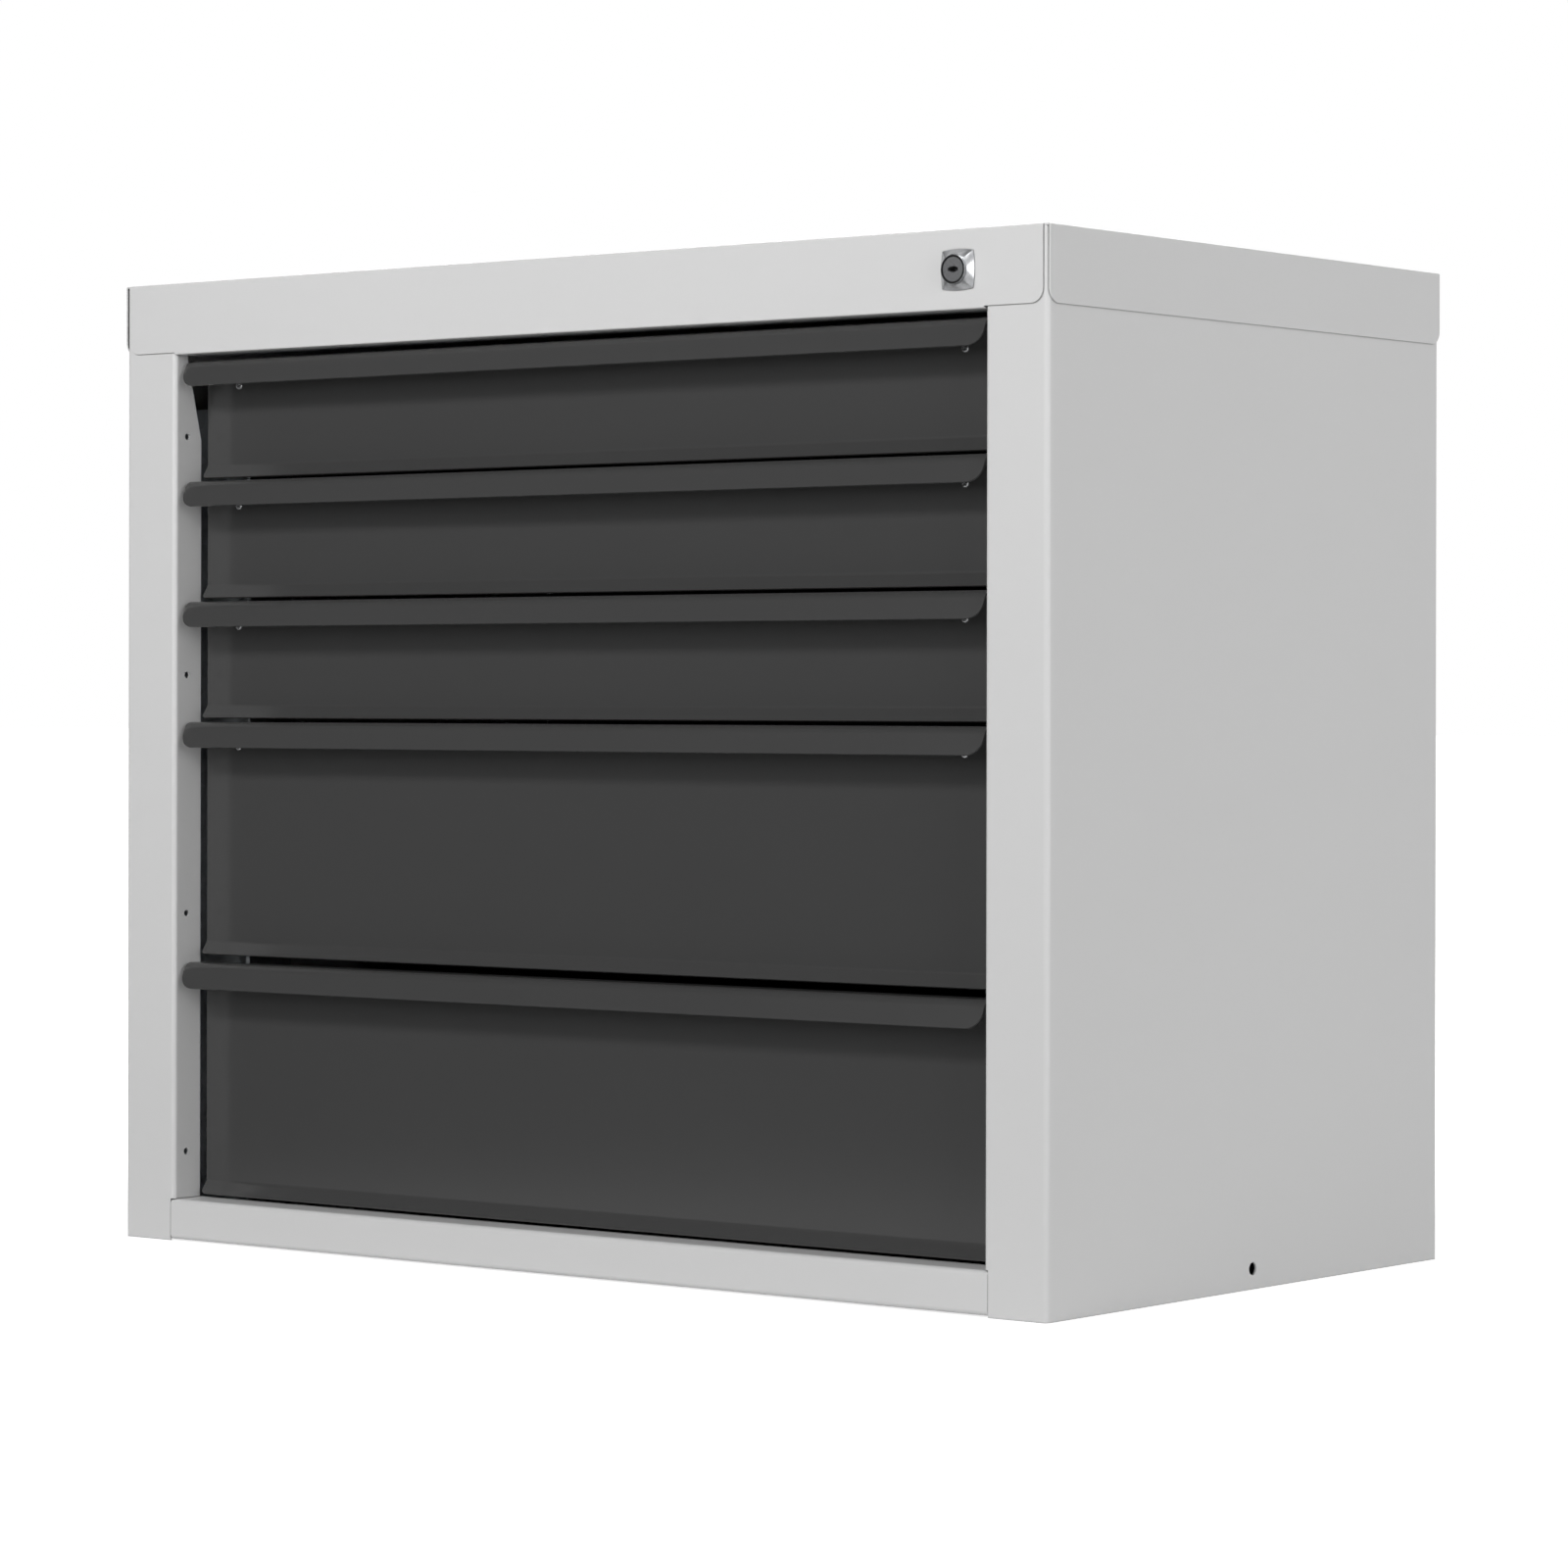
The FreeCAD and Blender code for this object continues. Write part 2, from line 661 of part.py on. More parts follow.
# Telescopic slides: a left and a right member of one kind in each node
def make_slide(label, number, path_of, thickness_side):
    body = new_body(label, slide_height_above_floor(number))
    for side in (-1, 1):
        outline = folded(path_of(side), "slide_sheet", "slide_bend", thickness_side * side)
        grow_between(body, "XZ_Plane", "front_upright_place", "front_upright_place + slide_length",
                     lambda sketch: draw_outline(sketch, outline))
    return body


def c_path(side, web, lip, half_height, lip_length):
    """Outer face of a C section that opens towards the drawer, from the upper lip round to the lower."""
    return [
        (f"{side} * {lip}", f"{half_height} - {lip_length}", "90"),
        (f"{side} * {lip}", half_height, mirrored_angle("0", side)),
        (f"{side} * {web}", half_height, "270"),
        (f"{side} * {web}", f"-{half_height}", mirrored_angle("180", side)),
        (f"{side} * {lip}", f"-{half_height}", "90"),
        (f"{side} * {lip}", f"-({half_height} - {lip_length})", ""),
    ]


OUTER_HALF = "(slide_height / 2)"
MIDDLE_HALF = "(slide_height / 2 - slide_sheet - ball_room)"
INNER_HALF = "(slide_height / 2 - 2 * slide_sheet - 2 * ball_room)"
LIP_LENGTH = "(slide_sheet + ball_room - slide_play)"


def outer_path(side):
    return c_path(side, WEB_PLACE, f"({WEB_PLACE} - outer_reach)", OUTER_HALF, LIP_LENGTH)


def middle_path(side):
    web = f"({WEB_PLACE} - middle_place)"
    return c_path(side, web, f"({WEB_PLACE} - middle_reach)", MIDDLE_HALF, LIP_LENGTH)


def inner_path(side):
    """Outer face of the drawer member, whose web lies on the tray and whose flanges point outwards."""
    tip = f"{side} * ({WEB_PLACE} - inner_place)"
    web = f"{side} * {TRAY_HALF}"
    return [
        (tip, INNER_HALF, mirrored_angle("180", side)),
        (web, INNER_HALF, "270"),
        (web, f"-{INNER_HALF}", mirrored_angle("0", side)),
        (tip, f"-{INNER_HALF}", ""),
    ]


def make_outer_slide(number):
    body = make_slide(f"slide_outer_{number}", number, outer_path, -1)
    for side in (-1, 1):
        sketch = new_sketch(body, "YZ_Plane", f"{side} * ({WEB_PLACE} - slide_sheet / 2)")
        for place in ("front_upright_place", "rear_upright_place"):
            draw_circle(sketch, f"{place} + upright_depth / 2", "0", "screw_radius + fastener_clearance")
        cut(body, sketch, "slide_sheet + 2 * cut_overrun")
    return body


def make_slide_screws():
    """Pan-head screws through the outer members into the uprights."""
    body = new_body("slide_screws")
    head_face = f"({WEB_PLACE} - slide_sheet)"
    stages = (
        (f"({head_face} - screw_head_height)", head_face, "screw_head_radius"),
        (head_face, f"({head_face} + screw_length)", "screw_radius"),
    )
    for side in (-1, 1):
        for low, high, radius in stages:
            sketch = new_sketch(body, "YZ_Plane", f"{side} * (({low}) + ({high})) / 2")
            for place in ("front_upright_place", "rear_upright_place"):
                for number in range(1, len(DRAWER_MODULES) + 1):
                    draw_circle(sketch, f"{place} + upright_depth / 2",
                                slide_height_above_floor(number), radius)
            grow(body, sketch, f"({high}) - ({low})")
    return body


# Drawer fronts: handle, panel, side flanges and flared edge in one sheet
def make_drawer_front(number):
    body = new_body(f"drawer_front_{number}", drawer_bottom(number))
    top = front_height(number)
    lip_rise = "(90 - lip_angle)"
    lip_top = f"(lip_place + lip_drop * tan(lip_angle))"
    flare_run = "(flare_height * tan(flare_angle))"
    path = [
        ("lip_place", f"{top} - lip_drop", lip_rise),
        (lip_top, top, "0"),
        ("panel_place + front_sheet", top, "270"),
        ("panel_place + front_sheet", "flare_height", "270 - flare_angle"),
        (f"panel_place + front_sheet - {flare_run}", "0", ""),
    ]
    outline = folded(path, "front_sheet", "panel_bend", -1)
    outline = [with_bend(corner, "handle_bend", "panel_bend") if index in (1, 8) else corner
               for index, corner in enumerate(outline)]
    outline = [with_bend(corner, "flare_bend", "panel_bend") if index in (3, 6) else corner
               for index, corner in enumerate(outline)]
    sketch = new_sketch(body, "YZ_Plane")
    draw_outline(sketch, outline)
    grow(body, sketch, "front_width")
    # Side flanges that stiffen the panel
    for side in (-1, 1):
        ends = (f"{side} * ({FRONT_HALF} - front_sheet)", f"{side} * {FRONT_HALF}")
        grow_between(
            body, "XY_Plane", "flare_height", f"{top} - side_flange_top_gap",
            lambda sketch: draw_box(sketch, ends, ("panel_place", "panel_place + side_flange_depth")))
    # Holes for the two rivets
    sketch = new_sketch(body, "XZ_Plane", "panel_place + front_sheet / 2")
    for side in (-1, 1):
        draw_circle(sketch, f"{side} * ({FRONT_HALF} - rivet_inset)", f"{top} - rivet_drop",
                    "rivet_radius + fastener_clearance")
    feature = cut(body, sketch, "front_sheet + 2 * cut_overrun")
    # Rounded ends of the handle lip and of the flared edge
    feature = round_lip_ends(body, feature, "lip_place", "lip_corner_radius")
    flare_front = f"(panel_place + front_sheet - {flare_run} - front_sheet * cos(flare_angle))"
    round_lip_ends(body, feature, flare_front, "flare_corner_radius")
    return body


def with_bend(corner, bend, standard):
    """A corner of a folded outline with its own bend in place of the sheet's standard one."""
    across, up, radius = corner
    return across, up, radius.replace(standard, bend)


def round_lip_ends(body, feature, foremost, radius):
    """Rounds the two lower corners of the lip whose lower edge has its foremost point at that depth."""
    half = size(FRONT_HALF)
    thickness = size("front_sheet")

    def is_lip_end(edge):
        at_end = all(near(abs(vertex.X), half) for vertex in edge.Vertexes)
        depths = sorted(vertex.Y for vertex in edge.Vertexes)
        return at_end and near(edge.Length, thickness) and near(depths[0], size(foremost))

    return round_edges(body, feature, radius, is_lip_end)


# Drawer trays: floor and sides in one sheet, with hems, front wall and back wall
def make_drawer_tray(number):
    body = new_body(f"drawer_tray_{number}", drawer_bottom(number))
    rim = f"({front_height(number)} - tray_top_gap)"
    back = f"({TRAY_FRONT} + tray_length)"
    path = [
        (f"-({TRAY_HALF} - tray_hem)", rim, "180"),
        (f"-{TRAY_HALF}", rim, "270"),
        (f"-{TRAY_HALF}", "tray_lift", "0"),
        (TRAY_HALF, "tray_lift", "90"),
        (TRAY_HALF, rim, "180"),
        (f"{TRAY_HALF} - tray_hem", rim, ""),
    ]
    outline = folded(path, "tray_sheet", "tray_bend", 1)
    grow_between(body, "XZ_Plane", TRAY_FRONT, back,
                 lambda sketch: draw_outline(sketch, outline))
    # Front and back walls, set between the sides and welded round their edges
    inside = f"({TRAY_HALF} - tray_sheet - weld_gap)"
    foot = "(tray_lift + tray_sheet + weld_gap)"
    head = f"({rim} - tray_sheet - weld_gap)"
    corners = [
        (f"-{inside}", foot, "tray_bend"),
        (inside, foot, "tray_bend"),
        (inside, head, "tray_bend"),
        (f"-{inside}", head, "tray_bend"),
    ]
    walls = ((TRAY_FRONT, f"{TRAY_FRONT} + tray_sheet"), (f"{back} - tray_sheet", back))
    for low, high in walls:
        grow_between(body, "XZ_Plane", low, high,
                     lambda sketch: draw_outline(sketch, corners))
    sketch = new_sketch(body, "XZ_Plane", f"{TRAY_FRONT} + tray_sheet / 2")
    for side in (-1, 1):
        draw_circle(sketch, f"{side} * ({FRONT_HALF} - rivet_inset)",
                    f"{front_height(number)} - rivet_drop", "rivet_radius + fastener_clearance")
    cut(body, sketch, "tray_sheet + 2 * cut_overrun")
    return body


def make_front_rivets(number):
    """Two rivets with domed heads under the handle, which join front and tray."""
    body = new_body(f"front_rivets_{number}", drawer_bottom(number))
    inside = f"({TRAY_FRONT} + tray_sheet)"
    stages = (
        (inside, f"({inside} + rivet_tail_height)", "rivet_tail_radius"),
        ("panel_place", inside, "rivet_radius"),
        ("(panel_place - rivet_head_height)", "panel_place", "rivet_head_radius"),
    )
    for low, high, radius in stages:
        sketch = new_sketch(body, "XZ_Plane", f"(({low}) + ({high})) / 2")
        for side in (-1, 1):
            draw_circle(sketch, f"{side} * ({FRONT_HALF} - rivet_inset)",
                        f"{front_height(number)} - rivet_drop", radius)
        feature = grow(body, sketch, f"({high}) - ({low})")
    face = size("panel_place - rivet_head_height")
    rim = size("rivet_head_radius") * 2 * math.pi
    round_edges(body, feature, "rivet_dome",
                lambda edge: near(edge.Vertexes[0].Y, face) and near(edge.Length, rim))
    return body


def make_lock_stud(number):
    """Collared stud on the right side of the tray, which the locking bar's dog holds back."""
    body = new_body(f"lock_stud_{number}", drawer_bottom(number))
    height = f"{front_height(number)} - stud_drop"
    stages = (
        (TRAY_HALF, f"({TRAY_HALF} + stud_collar)", "stud_collar_radius"),
        (f"({TRAY_HALF} + stud_collar)", f"({TRAY_HALF} + stud_length)", "stud_radius"),
    )
    for low, high, radius in stages:
        grow_between(body, "YZ_Plane", low, high,
                     lambda sketch: draw_circle(sketch, "stud_place", height, radius))
    return body


# Lock: pyramid-shaped rosette, housing with nut, plug with keyway
def make_lock_rosette():
    body = new_body("lock_rosette")
    edge_face = "(-cover_sheet - rosette_edge)"
    bow_radius = "(rosette_half * rosette_half + rosette_bow * rosette_bow) / (2 * rosette_bow)"
    grow_between(
        body, "XZ_Plane", edge_face, "-cover_sheet",
        lambda sketch: draw_bowed_square(sketch, LOCK_ACROSS, LOCK_HEIGHT, "rosette_half", bow_radius))
    base = new_sketch(body, "XZ_Plane", edge_face)
    draw_bowed_square(base, LOCK_ACROSS, LOCK_HEIGHT, "rosette_half", bow_radius)
    collar = new_sketch(body, "XZ_Plane", "-cover_sheet - rosette_height")
    draw_bowed_square(collar, LOCK_ACROSS, LOCK_HEIGHT, "collar_radius * cos(45)", "collar_radius")
    loft = body.newObject("PartDesign::AdditiveLoft", "lock_rosette_loft")
    loft.Profile = base
    loft.Sections = [collar]
    loft.Ruled = True
    cut_between(
        body, "XZ_Plane", "-cover_sheet - rosette_height - cut_overrun", "-cover_sheet + cut_overrun",
        lambda sketch: draw_circle(sketch, LOCK_ACROSS, LOCK_HEIGHT, "housing_radius + running_play"))
    return body


def make_lock_housing():
    body = new_body("lock_housing")
    grow_between(
        body, "XZ_Plane", LOCK_FACE, "housing_length",
        lambda sketch: draw_circle(sketch, LOCK_ACROSS, LOCK_HEIGHT, "housing_radius"))
    cut_between(
        body, "XZ_Plane", f"{LOCK_FACE} - cut_overrun", "housing_length + cut_overrun",
        lambda sketch: draw_circle(sketch, LOCK_ACROSS, LOCK_HEIGHT, "plug_radius + running_play"))
    cut_between(
        body, "XZ_Plane", f"{LOCK_FACE} - cut_overrun", f"({LOCK_FACE} + face_recess + plug_head_depth)",
        lambda sketch: draw_circle(sketch, LOCK_ACROSS, LOCK_HEIGHT, "plug_head_radius + running_play"))
    return body


def make_lock_nut():
    """Hexagon nut that clamps the housing and the rosette to the header."""
    body = new_body("lock_nut")
    reach = "(nut_flats / 2 / cos(30))"
    hexagon = [
        (f"{LOCK_ACROSS} + {reach} * cos({angle})", f"{LOCK_HEIGHT} + {reach} * sin({angle})")
        for angle in range(0, 360, 60)
    ]
    grow_between(body, "XZ_Plane", "0", "nut_thickness",
                 lambda sketch: draw_outline(sketch, hexagon))
    cut_between(
        body, "XZ_Plane", "-cut_overrun", "nut_thickness + cut_overrun",
        lambda sketch: draw_circle(sketch, LOCK_ACROSS, LOCK_HEIGHT, "housing_radius + running_play"))
    return body


def make_lock_plug():
    body = new_body("lock_plug")
    face = f"({LOCK_FACE} + face_recess)"
    shoulder = f"({face} + plug_head_depth)"
    stages = (
        (face, shoulder, "plug_head_radius"),
        (shoulder, CAM_FRONT, "plug_radius"),
        (CAM_FRONT, f"({CAM_FRONT} + cam_sheet)", "tail_radius"),
    )
    for low, high, radius in stages:
        grow_between(body, "XZ_Plane", low, high,
                     lambda sketch: draw_circle(sketch, LOCK_ACROSS, LOCK_HEIGHT, radius))
    cut_between(
        body, "XZ_Plane", f"({face} - cut_overrun)", f"({face} + keyway_depth)",
        lambda sketch: draw_box(sketch,
                                (f"{LOCK_ACROSS} - keyway_width / 2", f"{LOCK_ACROSS} + keyway_width / 2"),
                                (f"{LOCK_HEIGHT} - keyway_height / 2", f"{LOCK_HEIGHT} + keyway_height / 2")))
    cut_between(
        body, "XZ_Plane", f"({CAM_FRONT} + cam_sheet - cam_screw_depth)", f"({CAM_FRONT} + cam_sheet + cut_overrun)",
        lambda sketch: draw_circle(sketch, LOCK_ACROSS, LOCK_HEIGHT, "cam_screw_radius + running_play"))
    return body


def along_cam(along, across):
    """A place on the cam arm, which points up and outwards while the lock is open."""
    return (f"{LOCK_ACROSS} + ({along}) * cos(cam_swing) - ({across}) * sin(cam_swing)",
            f"{LOCK_HEIGHT} + ({along}) * sin(cam_swing) + ({across}) * cos(cam_swing)")


def make_lock_cam():
    """Cam arm on the plug's tail, with the long pin that reaches back to the locking bar."""
    body = new_body("lock_cam")
    round_off = "(cam_end_radius - running_play)"
    outline = [
        (*along_cam("-cam_end_radius", "-cam_end_radius"), round_off),
        (*along_cam("cam_arm + cam_end_radius", "-cam_end_radius"), round_off),
        (*along_cam("cam_arm + cam_end_radius", "cam_end_radius"), round_off),
        (*along_cam("-cam_end_radius", "cam_end_radius"), round_off),
    ]
    back = f"({CAM_FRONT} + cam_sheet)"
    grow_between(body, "XZ_Plane", CAM_FRONT, back,
                 lambda sketch: draw_outline(sketch, outline))
    grow_between(body, "XZ_Plane", CAM_FRONT, "(bar_place + running_play)",
                 lambda sketch: draw_circle(sketch, *along_cam("cam_arm", "0"), "pin_radius"))
    cut_between(
        body, "XZ_Plane", f"({CAM_FRONT} - cut_overrun)", f"({back} + cut_overrun)",
        lambda sketch: draw_circle(sketch, LOCK_ACROSS, LOCK_HEIGHT, "tail_radius + running_play"))
    return body


def make_cam_screw():
    body = new_body("cam_screw")
    seat = f"({CAM_FRONT} + cam_sheet)"
    stages = (
        (f"({seat} - cam_screw_depth + running_play)", seat, "cam_screw_radius"),
        (seat, f"({seat} + cam_screw_head_height)", "cam_screw_head_radius"),
    )
    for low, high, radius in stages:
        grow_between(body, "XZ_Plane", low, high,
                     lambda sketch: draw_circle(sketch, LOCK_ACROSS, LOCK_HEIGHT, radius))
    return body


# Locking bar: strip with a slotted yoke at the top and one dog for each drawer
def make_lock_bar():
    body = new_body("lock_bar")
    lowest = f"({stud_height(len(DRAWER_MODULES))} - bar_tail)"
    highest = f"({LOCK_HEIGHT} + cam_arm * sin(cam_swing) + yoke_height / 2)"
    grow_between(body, "XY_Plane", lowest, highest,
                 lambda sketch: draw_box(sketch, (BAR_INNER, f"{BAR_INNER} + bar_width"),
                                         ("bar_place", "bar_place + bar_sheet")))
    return body


def make_lock_bar_yoke():
    body = new_body("lock_bar_yoke")
    middle = f"({LOCK_HEIGHT} + cam_arm * sin(cam_swing))"
    slot_radius = "(pin_radius + slot_play)"
    slot_left = f"({LOCK_ACROSS} + cam_arm * cos(cam_swing) - {slot_radius})"
    slot_right = f"({LOCK_ACROSS} + cam_arm + {slot_radius})"
    grow_between(
        body, "XZ_Plane", DOG_FRONT, "bar_place",
        lambda sketch: draw_box(sketch, (f"{OPENING_HALF} - yoke_reach", f"{BAR_INNER} + bar_width"),
                                (f"{middle} - yoke_height / 2", f"{middle} + yoke_height / 2")))
    slot_end = f"({slot_radius} - running_play)"
    outline = [
        (slot_left, f"{middle} - {slot_radius}", slot_end),
        (slot_right, f"{middle} - {slot_radius}", slot_end),
        (slot_right, f"{middle} + {slot_radius}", slot_end),
        (slot_left, f"{middle} + {slot_radius}", slot_end),
    ]
    cut_between(body, "XZ_Plane", f"({DOG_FRONT} - cut_overrun)", "(bar_place + cut_overrun)",
                lambda sketch: draw_outline(sketch, outline))
    return body


def make_lock_dogs():
    body = new_body("lock_dogs")
    sketch = new_sketch(body, "XZ_Plane", f"({DOG_FRONT} + bar_place) / 2")
    for number in range(1, len(DRAWER_MODULES) + 1):
        low = f"{stud_height(number)} + stud_radius + dog_clearance"
        draw_box(sketch, (f"{OPENING_HALF} - dog_reach", f"{BAR_INNER} + bar_width"),
                 (low, f"{low} + dog_height"))
    grow(body, sketch, "dog_sheet")
    return body


def make_lock_bar_guides():
    """Brackets on the front upright that hold the locking bar against sideways and forward play."""
    body = new_body("lock_bar_guides")
    inner_leg = f"({BAR_INNER} - guide_play - guide_sheet)"
    outer_leg = f"({BAR_INNER} + bar_width + guide_play + guide_sheet)"
    bridge = "(bar_place - guide_play - guide_sheet)"
    foot = "(front_upright_place - guide_sheet)"
    path = [
        (inner_leg, "front_upright_place", "270"),
        (inner_leg, bridge, "0"),
        (outer_leg, bridge, "90"),
        (outer_leg, foot, "0"),
        (f"{outer_leg} + guide_foot", foot, ""),
    ]
    outline = folded(path, "guide_sheet", "guide_bend", 1)
    for number in GUIDED_DRAWERS:
        middle = f"({stud_height(number)} - guide_drop)"
        grow_between(body, "XY_Plane", f"({middle} - guide_height / 2)", f"({middle} + guide_height / 2)",
                     lambda sketch: draw_outline(sketch, outline))
    return body


parts = [
    make_side_panel("side_panel_left", -1),
    make_side_panel("side_panel_right", 1),
    make_bottom_panel(),
    make_top_cover(),
    make_back_panel(),
    make_back_rivets(),
    make_upright("upright_front_left", -1, "front_upright_place"),
    make_upright("upright_front_right", 1, "front_upright_place"),
    make_upright("upright_rear_left", -1, "rear_upright_place"),
    make_upright("upright_rear_right", 1, "rear_upright_place"),
    make_slide_screws(),
    make_lock_rosette(),
    make_lock_housing(),
    make_lock_nut(),
    make_lock_plug(),
    make_lock_cam(),
    make_cam_screw(),
    make_lock_bar(),
    make_lock_bar_yoke(),
    make_lock_dogs(),
    make_lock_bar_guides(),
]
for drawer in range(1, len(DRAWER_MODULES) + 1):
    parts += [
        make_outer_slide(drawer),
        make_slide(f"slide_middle_{drawer}", drawer, middle_path, -1),
        make_slide(f"slide_inner_{drawer}", drawer, inner_path, 1),
        make_drawer_front(drawer),
        make_drawer_tray(drawer),
        make_front_rivets(drawer),
        make_lock_stud(drawer),
    ]

doc.recompute()

# Nothing is written before every feature has worked
for item in doc.Objects:
    if "Invalid" in item.State or "Error" in item.State:
        raise RuntimeError(f"{item.Label} failed: {item.State}")
    if item.TypeId == "PartDesign::Pocket" and item.BaseFeature.Shape.Volume <= item.Shape.Volume:
        raise RuntimeError(f"{item.Label} cuts nothing")
for part in parts:
    if part.Shape.isNull() or not part.Shape.isValid() or not part.Shape.Solids:
        raise RuntimeError(f"{part.Label} has no valid solid")

os.makedirs("parts", exist_ok=True)
for part in parts:
    part.Shape.exportStep(f"parts/{part.Label}.step")
print(len(parts), "sub-parts written")
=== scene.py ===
import math

import bpy
from mathutils import Matrix, Vector


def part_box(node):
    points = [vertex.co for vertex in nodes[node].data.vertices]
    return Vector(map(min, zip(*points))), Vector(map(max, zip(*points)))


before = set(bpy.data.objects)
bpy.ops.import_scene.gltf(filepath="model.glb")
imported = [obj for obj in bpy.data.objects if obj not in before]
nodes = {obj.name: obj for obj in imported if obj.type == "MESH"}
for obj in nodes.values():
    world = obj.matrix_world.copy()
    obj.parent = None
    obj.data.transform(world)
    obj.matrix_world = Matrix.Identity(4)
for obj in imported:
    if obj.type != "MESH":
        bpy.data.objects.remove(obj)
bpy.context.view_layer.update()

# Camera
# A long lens a little above half the cabinet's height, turned 38 degrees to the right of its front.
# The frame is shifted a little, so that the uprights stay parallel.
MM = 0.001
PHOTO_WIDTH = 1600
FOCAL_PIXELS = 5137.6
HORIZON_PIXEL = 714.5
SENSOR_MM = 36.0
CAMERA_PLACE_MM = Vector((1923.7, -2427.9, 336.7))
CAMERA_TURN = 38.202
CAMERA_ROLL = 0.106
NEAREST, FURTHEST = 0.05, 100
camera_data = bpy.data.cameras.new("photo_camera")
camera_data.sensor_width = SENSOR_MM
camera_data.lens = FOCAL_PIXELS / PHOTO_WIDTH * SENSOR_MM
camera_data.shift_y = (HORIZON_PIXEL - PHOTO_WIDTH / 2) / PHOTO_WIDTH
camera_data.clip_start = NEAREST
camera_data.clip_end = FURTHEST
camera = bpy.data.objects.new("photo_camera", camera_data)
bpy.context.scene.collection.objects.link(camera)
camera.matrix_world = (
    Matrix.Translation(CAMERA_PLACE_MM * MM)
    @ Matrix.Rotation(math.radians(CAMERA_TURN), 4, "Z")
    @ Matrix.Rotation(math.radians(90), 4, "X")
    @ Matrix.Rotation(math.radians(CAMERA_ROLL), 4, "Z")
)
bpy.context.scene.camera = camera


# Studio
# A white sweep all round, two lamps above the front, one overhead, three on the right and one
# behind. Mirrored rays see white only behind and to the right, so that the dark fronts stay dark.
# The floor keeps a faint shadow and turns pure white further out.
def linear(hex_colour):
    """An sRGB hex colour as a linear colour with alpha."""
    channels = [int(hex_colour[i:i + 2], 16) / 255 for i in (1, 3, 5)]
    return [c / 12.92 if c <= 0.04045 else ((c + 0.055) / 1.055) ** 2.4 for c in channels] + [1.0]


def add(tree, kind, settings=None, **inputs):
    """Adds a node. Settings are its own properties.

    Inputs are values or other nodes' outputs, each under its socket's name, or i and its number.
    """
    node = tree.nodes.new(kind)
    for name, value in (settings or {}).items():
        setattr(node, name, value)
    for name, value in inputs.items():
        key = int(name[1:]) if name[1:].isdigit() else name.replace("_", " ")
        socket = node.inputs[key]
        if isinstance(value, bpy.types.NodeSocket):
            tree.links.new(value, socket)
        else:
            socket.default_value = value
    return node


SMOOTH = {"interpolation_type": "SMOOTHSTEP"}
LARGER = {"operation": "MAXIMUM"}
WHITE = linear("#ffffff")
DARK_LEVEL = 0.04
FILL_LEVEL = 0.03

world = bpy.data.worlds.new("studio")
bpy.context.scene.world = world
world.use_nodes = True
tree = world.node_tree
tree.nodes.clear()
path = add(tree, "ShaderNodeLightPath")
sky = add(tree, "ShaderNodeTexCoord")
place = add(tree, "ShaderNodeSeparateXYZ", Vector=sky.outputs["Generated"])
behind = add(tree, "ShaderNodeMapRange", SMOOTH, Value=place.outputs["Y"],
             From_Min=-0.2, From_Max=0.25, To_Min=DARK_LEVEL, To_Max=0.8)
right = add(tree, "ShaderNodeMapRange", SMOOTH, Value=place.outputs["X"],
            From_Min=-0.25, From_Max=0.2, To_Min=DARK_LEVEL, To_Max=0.9)
around = add(tree, "ShaderNodeMath", LARGER, i0=behind.outputs[0], i1=right.outputs[0])
seen = add(tree, "ShaderNodeMath", LARGER, i0=path.outputs["Is Camera Ray"],
           i1=path.outputs["Is Transmission Ray"])
indoors = add(tree, "ShaderNodeMix", i0=path.outputs["Is Glossy Ray"], i2=FILL_LEVEL,
              i3=around.outputs[0])
level = add(tree, "ShaderNodeMath", LARGER, i0=seen.outputs[0], i1=indoors.outputs[0])
light = add(tree, "ShaderNodeBackground", Color=WHITE, Strength=level.outputs[0])
add(tree, "ShaderNodeOutputWorld", Surface=light.outputs[0])

REACH = 40
FLOOR_DROP_MM = 0.2
floor_mesh = bpy.data.meshes.new("studio_floor")
floor_mesh.from_pydata(
    [(-REACH, -REACH, 0), (REACH, -REACH, 0), (REACH, REACH, 0), (-REACH, REACH, 0)],
    [], [(0, 1, 2, 3)])
floor = bpy.data.objects.new("studio_floor", floor_mesh)
bpy.context.scene.collection.objects.link(floor)
floor.location.z = -FLOOR_DROP_MM * MM

# White paper. Seen directly, it is lit and glows, and is white further out. A mirrored ray sees it
# white behind, to the right and close to the cabinet, and any other ray sees a light grey which
# glows faintly close to the cabinet, as a fill from below.
paper = bpy.data.materials.new("white_paper_sweep")
paper.use_nodes = True
tree = paper.node_tree
tree.nodes.clear()
path = add(tree, "ShaderNodeLightPath")
spot = add(tree, "ShaderNodeNewGeometry")
from_middle = add(tree, "ShaderNodeVectorMath", {"operation": "LENGTH"},
                  i0=spot.outputs["Position"])
whiter = add(tree, "ShaderNodeMapRange", SMOOTH, Value=from_middle.outputs["Value"],
             From_Min=0.45, From_Max=0.8, To_Min=0.75, To_Max=1.2)
lit = add(tree, "ShaderNodeBsdfDiffuse", Color=linear("#c8c8c8"))
glow = add(tree, "ShaderNodeEmission", Color=WHITE, Strength=whiter.outputs[0])
bright = add(tree, "ShaderNodeAddShader", i0=lit.outputs[0], i1=glow.outputs[0])
place = add(tree, "ShaderNodeSeparateXYZ", Vector=spot.outputs["Position"])
behind = add(tree, "ShaderNodeMapRange", SMOOTH, Value=place.outputs["Y"],
             From_Min=-0.4, From_Max=0.4, To_Min=DARK_LEVEL, To_Max=0.72)
right = add(tree, "ShaderNodeMapRange", SMOOTH, Value=place.outputs["X"],
            From_Min=0.1, From_Max=0.8, To_Min=0.0, To_Max=0.8)
